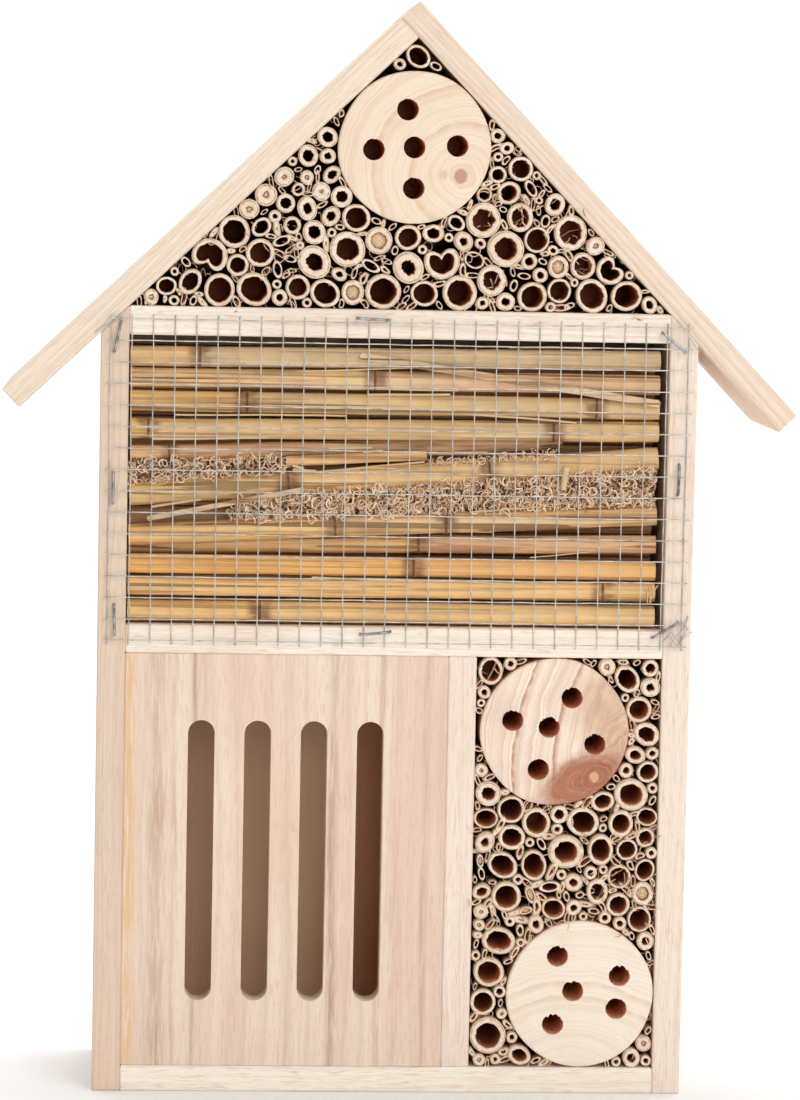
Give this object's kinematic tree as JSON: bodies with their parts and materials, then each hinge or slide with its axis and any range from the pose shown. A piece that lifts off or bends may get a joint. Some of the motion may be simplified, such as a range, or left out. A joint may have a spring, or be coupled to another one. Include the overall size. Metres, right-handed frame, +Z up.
{
  "type": "insect hotel",
  "caption": "Pitched wooden insect house with reed-filled gable and nook, drilled logs, a slotted butterfly chamber and canes behind wire mesh.",
  "frame": {"origin": "centre of the bounding box on the ground", "axes": "+Z up, the front with its logs and slots faces -Y, +X to the viewer's right"},
  "size_m": [0.2892, 0.0758, 0.3995],
  "materials": {
    "board": "planed pale softwood, unfinished",
    "plywood": "thin plywood, unfinished",
    "log_wood": "sawn end grain of a branch round",
    "reed": "cut reed, straw coloured",
    "cane": "dried cane, satin skin",
    "wood_wool": "loose wood shavings",
    "mesh_wire": "galvanised, dull",
    "staple_wire": "zinc plated",
    "fastener": "zinc plated",
    "hanger_steel": "zinc plated sheet"
  },
  "bodies": {
    "root": {"back_panel": "plywood", "back_pins": "fastener", "cane_01": "cane", "cane_02": "cane", "cane_03": "cane", "cane_04": "cane", "cane_05": "cane", "cane_06": "cane", "cane_07": "cane", "cane_08": "cane", "cane_09": "cane", "cane_10": "cane", "cane_11": "cane", "cane_12": "cane", "divider_board": "board", "floor_board": "board", "gable_log": "log_wood", "gable_reeds_01": "reed", "gable_reeds_02": "reed", "gable_reeds_03": "reed", "gable_reeds_04": "reed", "gable_reeds_05": "reed", "gable_reeds_06": "reed", "gable_reeds_07": "reed", "gable_reeds_08": "reed", "gable_reeds_09": "reed", "hanger_plate": "hanger_steel", "hanger_screws": "fastener", "left_wall": "board", "lower_log": "log_wood", "mesh_staples": "staple_wire", "middle_shelf": "board", "nook_reeds_01": "reed", "nook_reeds_02": "reed", "nook_reeds_03": "reed", "nook_reeds_04": "reed", "nook_reeds_05": "reed", "nook_reeds_06": "reed", "nook_reeds_07": "reed", "nook_reeds_08": "reed", "rear_canes": "cane", "right_wall": "board", "roof_board_left": "board", "roof_board_right": "board", "roof_nails": "fastener", "slotted_panel": "board", "split_sliver": "cane", "split_strip": "cane", "top_shelf": "board", "upper_log": "log_wood", "wall_nails": "fastener", "wire_mesh": "mesh_wire", "wood_wool_lower": "wood_wool", "wood_wool_upper": "wood_wool"}
  },
  "joints": []
}
